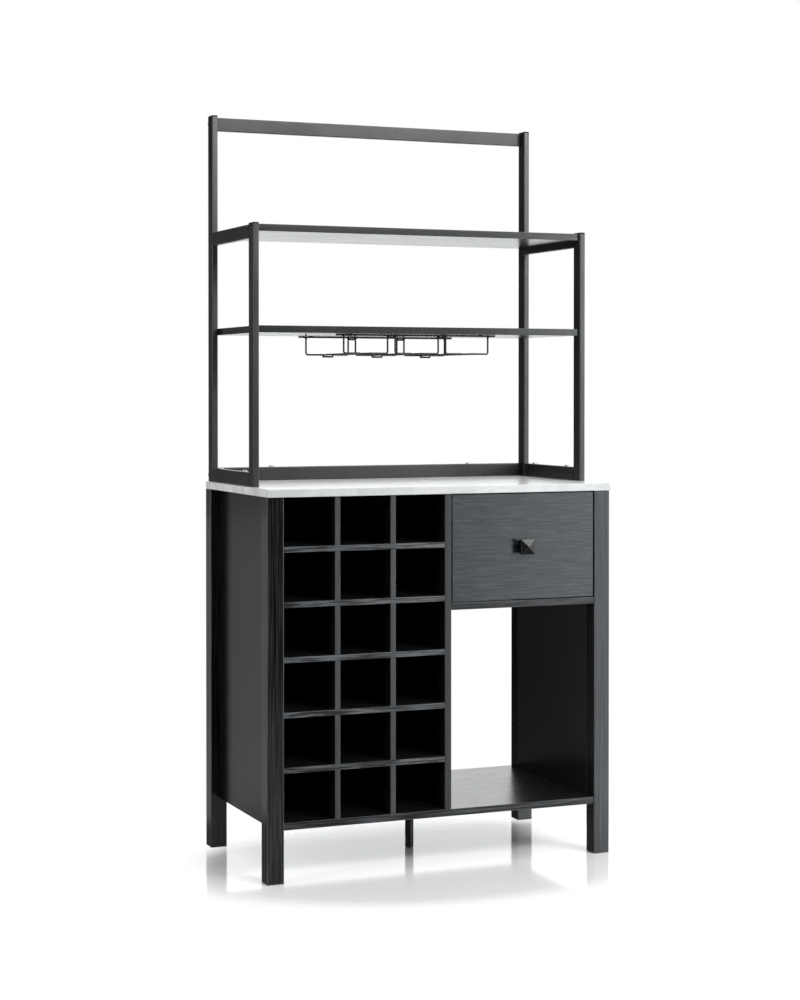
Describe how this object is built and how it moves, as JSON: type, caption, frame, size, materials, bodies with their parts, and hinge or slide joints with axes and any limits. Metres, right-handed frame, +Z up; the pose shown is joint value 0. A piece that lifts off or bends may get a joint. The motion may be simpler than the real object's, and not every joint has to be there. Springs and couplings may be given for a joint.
{
  "type": "bakers rack",
  "caption": "Kitchen bakers rack: a cupboard base with a wine grid, an open bay and a drawer, under a tube hutch with shelves and a hanging rack for stemmed glasses.",
  "frame": {"origin": "middle of the object's box on the floor, halfway between the knob's tip and the back edge", "axes": "+X to the right seen from the front, +Y to the back, +Z up"},
  "size_m": [0.8, 0.4454, 1.639],
  "materials": {
    "black_board": "black woodgrain foil on particle board, satin",
    "marble_board": "white marble-look foil with faint grey veins, satin",
    "dark_panel": "thin black-faced fibreboard, matt",
    "drawer_board": "plain dark foil on drawer board, matt",
    "black_tube": "black powder coat, fine satin texture",
    "black_wire": "black powder coat, satin",
    "black_plastic": "moulded black, fine matt",
    "zinc_steel": "zinc plated",
    "knob_metal": "black lacquered metal, satin"
  },
  "bodies": {
    "frame": {"left_front_leg": "black_board", "left_rear_leg": "black_board", "right_front_leg": "black_board", "right_rear_leg": "black_board", "left_side_panel": "black_board", "right_side_panel": "black_board", "bottom_board": "black_board", "middle_foot": "black_tube", "centre_partition": "black_board", "drawer_shelf": "black_board", "wine_back_panel": "dark_panel", "wine_divider_1": "black_board", "wine_divider_2": "black_board", "wine_shelf_1": "black_board", "wine_shelf_2": "black_board", "wine_shelf_3": "black_board", "wine_shelf_4": "black_board", "wine_shelf_5": "black_board", "countertop": "marble_board", "left_runner_outer": "zinc_steel", "right_runner_outer": "zinc_steel", "left_front_post": "black_tube", "left_front_cap": "black_plastic", "left_rear_post": "black_tube", "left_rear_cap": "black_plastic", "left_base_rail": "black_tube", "left_top_rail": "black_tube", "left_rail_bolt_front": "zinc_steel", "left_rail_bolt_rear": "zinc_steel", "right_front_post": "black_tube", "right_front_cap": "black_plastic", "right_rear_post": "black_tube", "right_rear_cap": "black_plastic", "right_base_rail": "black_tube", "right_top_rail": "black_tube", "right_rail_bolt_front": "zinc_steel", "right_rail_bolt_rear": "zinc_steel", "rear_base_rail": "black_tube", "crown_rail": "black_tube", "top_shelf": "black_board", "middle_shelf": "black_board", "rear_rail_bolt_left": "zinc_steel", "rear_rail_bolt_right": "zinc_steel", "stem_front_bar": "black_wire", "stem_rear_bar": "black_wire", "stem_rail_left": "black_wire", "stem_rail_mid_left": "black_wire", "stem_rail_mid_right": "black_wire", "stem_rail_right": "black_wire"},
    "drawer": {"drawer_front": "black_board", "drawer_left_side": "drawer_board", "drawer_right_side": "drawer_board", "drawer_back": "drawer_board", "drawer_bottom": "dark_panel", "drawer_knob": "knob_metal", "knob_screw": "zinc_steel", "left_runner_inner": "zinc_steel", "right_runner_inner": "zinc_steel"},
    "left_cage": {"left_ball_cage": "zinc_steel"},
    "right_cage": {"right_ball_cage": "zinc_steel"}
  },
  "joints": [
    {"name": "drawer_slide", "type": "slide", "parent": "frame", "child": "drawer", "axis": [0, -1, 0], "range_m": [0, 0.25]},
    {"name": "left_cage_roll", "type": "slide", "parent": "frame", "child": "left_cage", "axis": [0, -1, 0], "range_m": [0, 0.125]},
    {"name": "right_cage_roll", "type": "slide", "parent": "frame", "child": "right_cage", "axis": [0, -1, 0], "range_m": [0, 0.125]}
  ],
  "couplings": [
    {"joint": "left_cage_roll", "follows": "drawer_slide", "ratio": 0.5},
    {"joint": "right_cage_roll", "follows": "drawer_slide", "ratio": 0.5}
  ]
}
